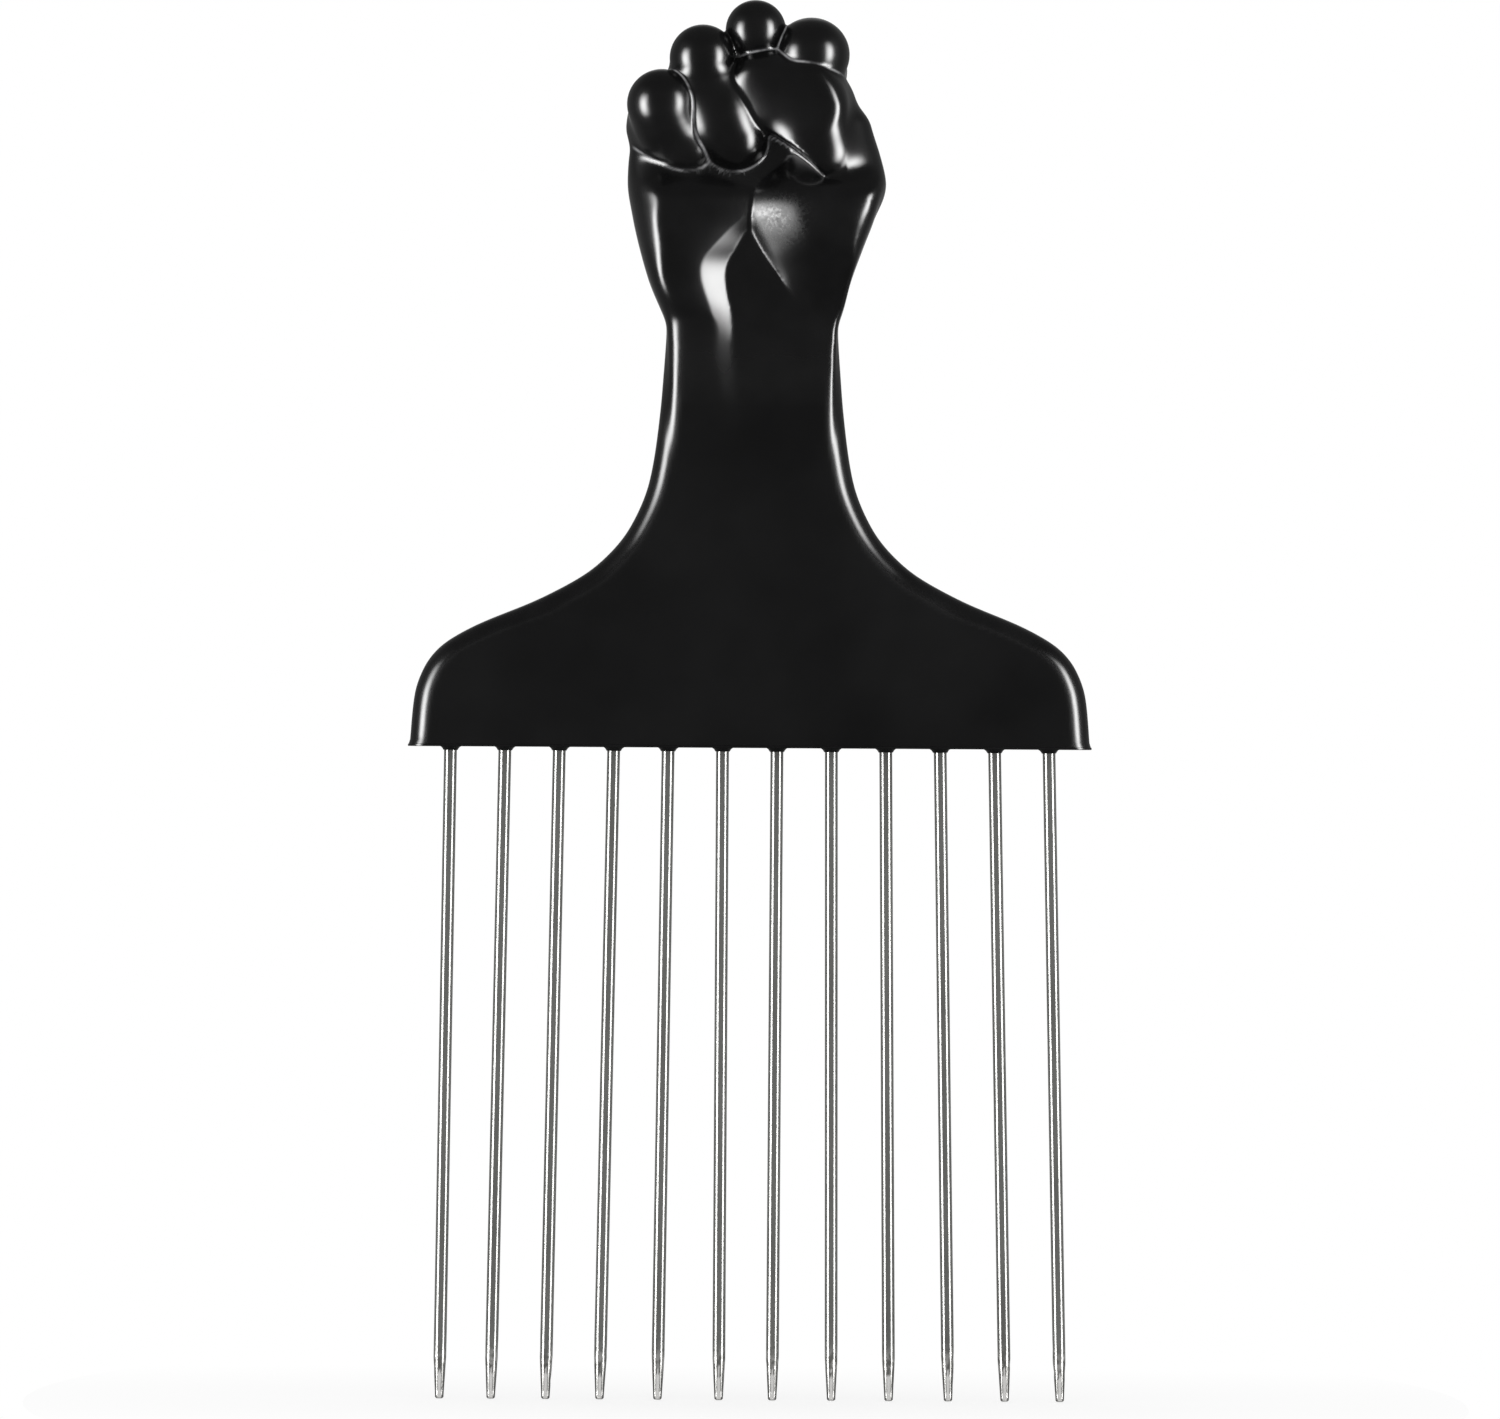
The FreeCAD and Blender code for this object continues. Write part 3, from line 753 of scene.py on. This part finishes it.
# Floor: a small round table top of pale card, which the tips of the tines stand on. It fades into the white
# round it, and it does not show in the gloss of the handle and the wires.
FLOOR_RADIUS = 0.09
FLOOR_SIDES = 96
FLOOR_CLEAR = 0.006
FLOOR_FADED = 0.05
FLOOR_NARROWED = (0.3, 1.0, 0.0)
FLOOR_WHITE_SHARE = 0.75
FLOOR_BELOW = 0.0001
CARD_TONE = (0.86, 0.86, 0.86, 1.0)
CARD_ROUGHNESS = 0.9

mesh = bmesh.new()
bmesh.ops.create_circle(mesh, cap_ends=True, segments=FLOOR_SIDES, radius=FLOOR_RADIUS)
floor_data = bpy.data.meshes.new("floor")
mesh.to_mesh(floor_data)
mesh.free()
floor = bpy.data.objects.new("floor", floor_data)
bpy.context.scene.collection.objects.link(floor)
floor.location.z = -FLOOR_BELOW
pale_card, tree, shader = material_with_nodes("pale_card")
shader.inputs["Base Color"].default_value = CARD_TONE
shader.inputs["Roughness"].default_value = CARD_ROUGHNESS
shader.inputs["Specular IOR Level"].default_value = 0.0
place = tree.nodes.new("ShaderNodeTexCoord")
narrowed = tree.nodes.new("ShaderNodeVectorMath")
narrowed.operation = "MULTIPLY"
narrowed.inputs[1].default_value = FLOOR_NARROWED
from_middle = tree.nodes.new("ShaderNodeVectorMath")
from_middle.operation = "LENGTH"
fade = tree.nodes.new("ShaderNodeMapRange")
fade.inputs["From Min"].default_value = FLOOR_CLEAR
fade.inputs["From Max"].default_value = FLOOR_FADED
fade.inputs["To Min"].default_value = FLOOR_WHITE_SHARE
tree.links.new(place.outputs["Object"], narrowed.inputs[0])
tree.links.new(narrowed.outputs["Vector"], from_middle.inputs[0])
tree.links.new(from_middle.outputs["Value"], fade.inputs["Value"])
white = tree.nodes.new("ShaderNodeEmission")
clear = tree.nodes.new("ShaderNodeBsdfTransparent")
rays = tree.nodes.new("ShaderNodeLightPath")
faded = worked_out(tree, "MULTIPLY", rays.outputs["Is Camera Ray"], fade.outputs["Result"])
mixed = tree.nodes.new("ShaderNodeMixShader")
unseen = tree.nodes.new("ShaderNodeMixShader")
tree.links.new(faded, mixed.inputs["Fac"])
tree.links.new(shader.outputs["BSDF"], mixed.inputs[1])
tree.links.new(white.outputs["Emission"], mixed.inputs[2])
tree.links.new(rays.outputs["Is Glossy Ray"], unseen.inputs["Fac"])
tree.links.new(mixed.outputs["Shader"], unseen.inputs[1])
tree.links.new(clear.outputs["BSDF"], unseen.inputs[2])
tree.links.new(unseen.outputs["Shader"], tree.nodes["Material Output"].inputs["Surface"])
floor_data.materials.append(pale_card)


# Studio: white all round for the camera, and an even plain light on every side of the pick. The gloss sees a
# dim room, lighter at the sides and behind, and two tall softboxes to the left and the right of the camera.
ROOM_LEVELS = ((0.0, 0.13), (0.22, 0.13), (0.28, 0.25), (0.37, 0.35), (0.50, 0.35), (0.56, 0.18),
               (0.92, 0.18), (0.96, 0.4), (1.0, 0.4))
ROOM_CEILING = (0.1, 0.1, 0.1, 1.0)
CEILING_FROM = 0.45
CEILING_FULL = 0.8
PLAIN_LIGHT = (0.95, 0.95, 0.95, 1.0)
WHITE = (1.0, 1.0, 1.0, 1.0)
SOFTBOX_AIM = (0.0, 0.0, 0.13)
SOFTBOX_AWAY = 0.9
SOFTBOX_HEIGHT = 1.35
SOFTBOX_STRENGTH = 27.0
SOFTBOX_EVEN_SHARE = 0.04

world = bpy.data.worlds.new("studio")
bpy.context.scene.world = world
world.use_nodes = True
tree = world.node_tree
place = tree.nodes.new("ShaderNodeTexCoord")
apart = tree.nodes.new("ShaderNodeSeparateXYZ")
tree.links.new(place.outputs["Generated"], apart.inputs["Vector"])
sideways = worked_out(tree, "ABSOLUTE", apart.outputs["X"])
forward = worked_out(tree, "MULTIPLY", apart.outputs["Y"], -1.0)
around = worked_out(tree, "DIVIDE", worked_out(tree, "ARCTAN2", sideways, forward), math.pi)
room = tree.nodes.new("ShaderNodeValToRGB")
levels = room.color_ramp.elements
while len(levels) < len(ROOM_LEVELS):
    levels.new(0.5)
for element, (position, level) in zip(levels, ROOM_LEVELS):
    element.position = position
    element.color = (level, level, level, 1.0)
tree.links.new(around, room.inputs["Fac"])
overhead = tree.nodes.new("ShaderNodeMapRange")
overhead.interpolation_type = "SMOOTHSTEP"
overhead.inputs["From Min"].default_value = CEILING_FROM
overhead.inputs["From Max"].default_value = CEILING_FULL
tree.links.new(worked_out(tree, "ABSOLUTE", apart.outputs["Z"]), overhead.inputs["Value"])
rays = tree.nodes.new("ShaderNodeLightPath")
seen = laid_over(tree, overhead.outputs["Result"], room.outputs["Color"], ROOM_CEILING)
seen = laid_over(tree, rays.outputs["Is Glossy Ray"], PLAIN_LIGHT, seen)
seen = laid_over(tree, rays.outputs["Is Camera Ray"], seen, WHITE)
tree.links.new(seen, tree.nodes["Background"].inputs["Color"])


def softbox(name, turn, rise, across):
    """A tall softbox that faces the pick: it is brightest in the middle and falls off towards its edges."""
    mesh = bmesh.new()
    bmesh.ops.create_grid(mesh, x_segments=1, y_segments=1, size=0.5)
    bmesh.ops.scale(mesh, vec=(across, SOFTBOX_HEIGHT, 1.0), verts=mesh.verts)
    data = bpy.data.meshes.new(name)
    mesh.to_mesh(data)
    mesh.free()
    lamp = bpy.data.objects.new(name, data)
    bpy.context.scene.collection.objects.link(lamp)
    turn = math.radians(turn)
    rise = math.radians(rise)
    towards = Vector((math.sin(turn) * math.cos(rise), -math.cos(turn) * math.cos(rise), math.sin(rise)))
    lamp.location = Vector(SOFTBOX_AIM) + towards * SOFTBOX_AWAY
    lamp.rotation_euler = towards.to_track_quat("Z", "Y").to_euler()
    lamp.visible_camera = False
    lamp.visible_shadow = False
    lamp.visible_diffuse = False
    cloth, tree, shader = material_with_nodes(name)
    tree.nodes.remove(shader)
    place = tree.nodes.new("ShaderNodeTexCoord")
    apart = tree.nodes.new("ShaderNodeSeparateXYZ")
    tree.links.new(place.outputs["Object"], apart.inputs["Vector"])
    fades = []
    for axis, size in (("X", across), ("Y", SOFTBOX_HEIGHT)):
        fade = tree.nodes.new("ShaderNodeMapRange")
        fade.interpolation_type = "SMOOTHSTEP"
        fade.inputs["From Min"].default_value = size / 2
        fade.inputs["From Max"].default_value = size * SOFTBOX_EVEN_SHARE
        tree.links.new(worked_out(tree, "ABSOLUTE", apart.outputs[axis]), fade.inputs["Value"])
        fades.append(fade.outputs["Result"])
    level = worked_out(tree, "MULTIPLY", worked_out(tree, "MULTIPLY", *fades), SOFTBOX_STRENGTH)
    glow = tree.nodes.new("ShaderNodeEmission")
    tree.links.new(level, glow.inputs["Strength"])
    tree.links.new(glow.outputs["Emission"], tree.nodes["Material Output"].inputs["Surface"])
    data.materials.append(cloth)


softbox("softbox_left", -63, -4, 0.68)
softbox("softbox_right", 60, 3, 0.60)


# Camera: square on to the palm side and level with the middle of the pick, through a long lens from about a
# metre away. It is rolled by a third of a degree, as the pick hangs a little out of plumb in the picture.
LENS = 180.0
SENSOR_WIDTH = 36.0
FRAME_WIDTH = 0.1875
AIM_HEIGHT = 0.0863
ROLL_DEGREES = 0.35
lens = bpy.data.cameras.new("camera")
lens.lens = LENS
lens.sensor_width = SENSOR_WIDTH
camera = bpy.data.objects.new("camera", lens)
bpy.context.scene.collection.objects.link(camera)
camera.location = (0.0, -FRAME_WIDTH * LENS / SENSOR_WIDTH, AIM_HEIGHT)
camera.rotation_euler = (math.radians(90), math.radians(-ROLL_DEGREES), 0.0)
bpy.context.scene.camera = camera
bpy.context.scene.view_settings.view_transform = "Standard"
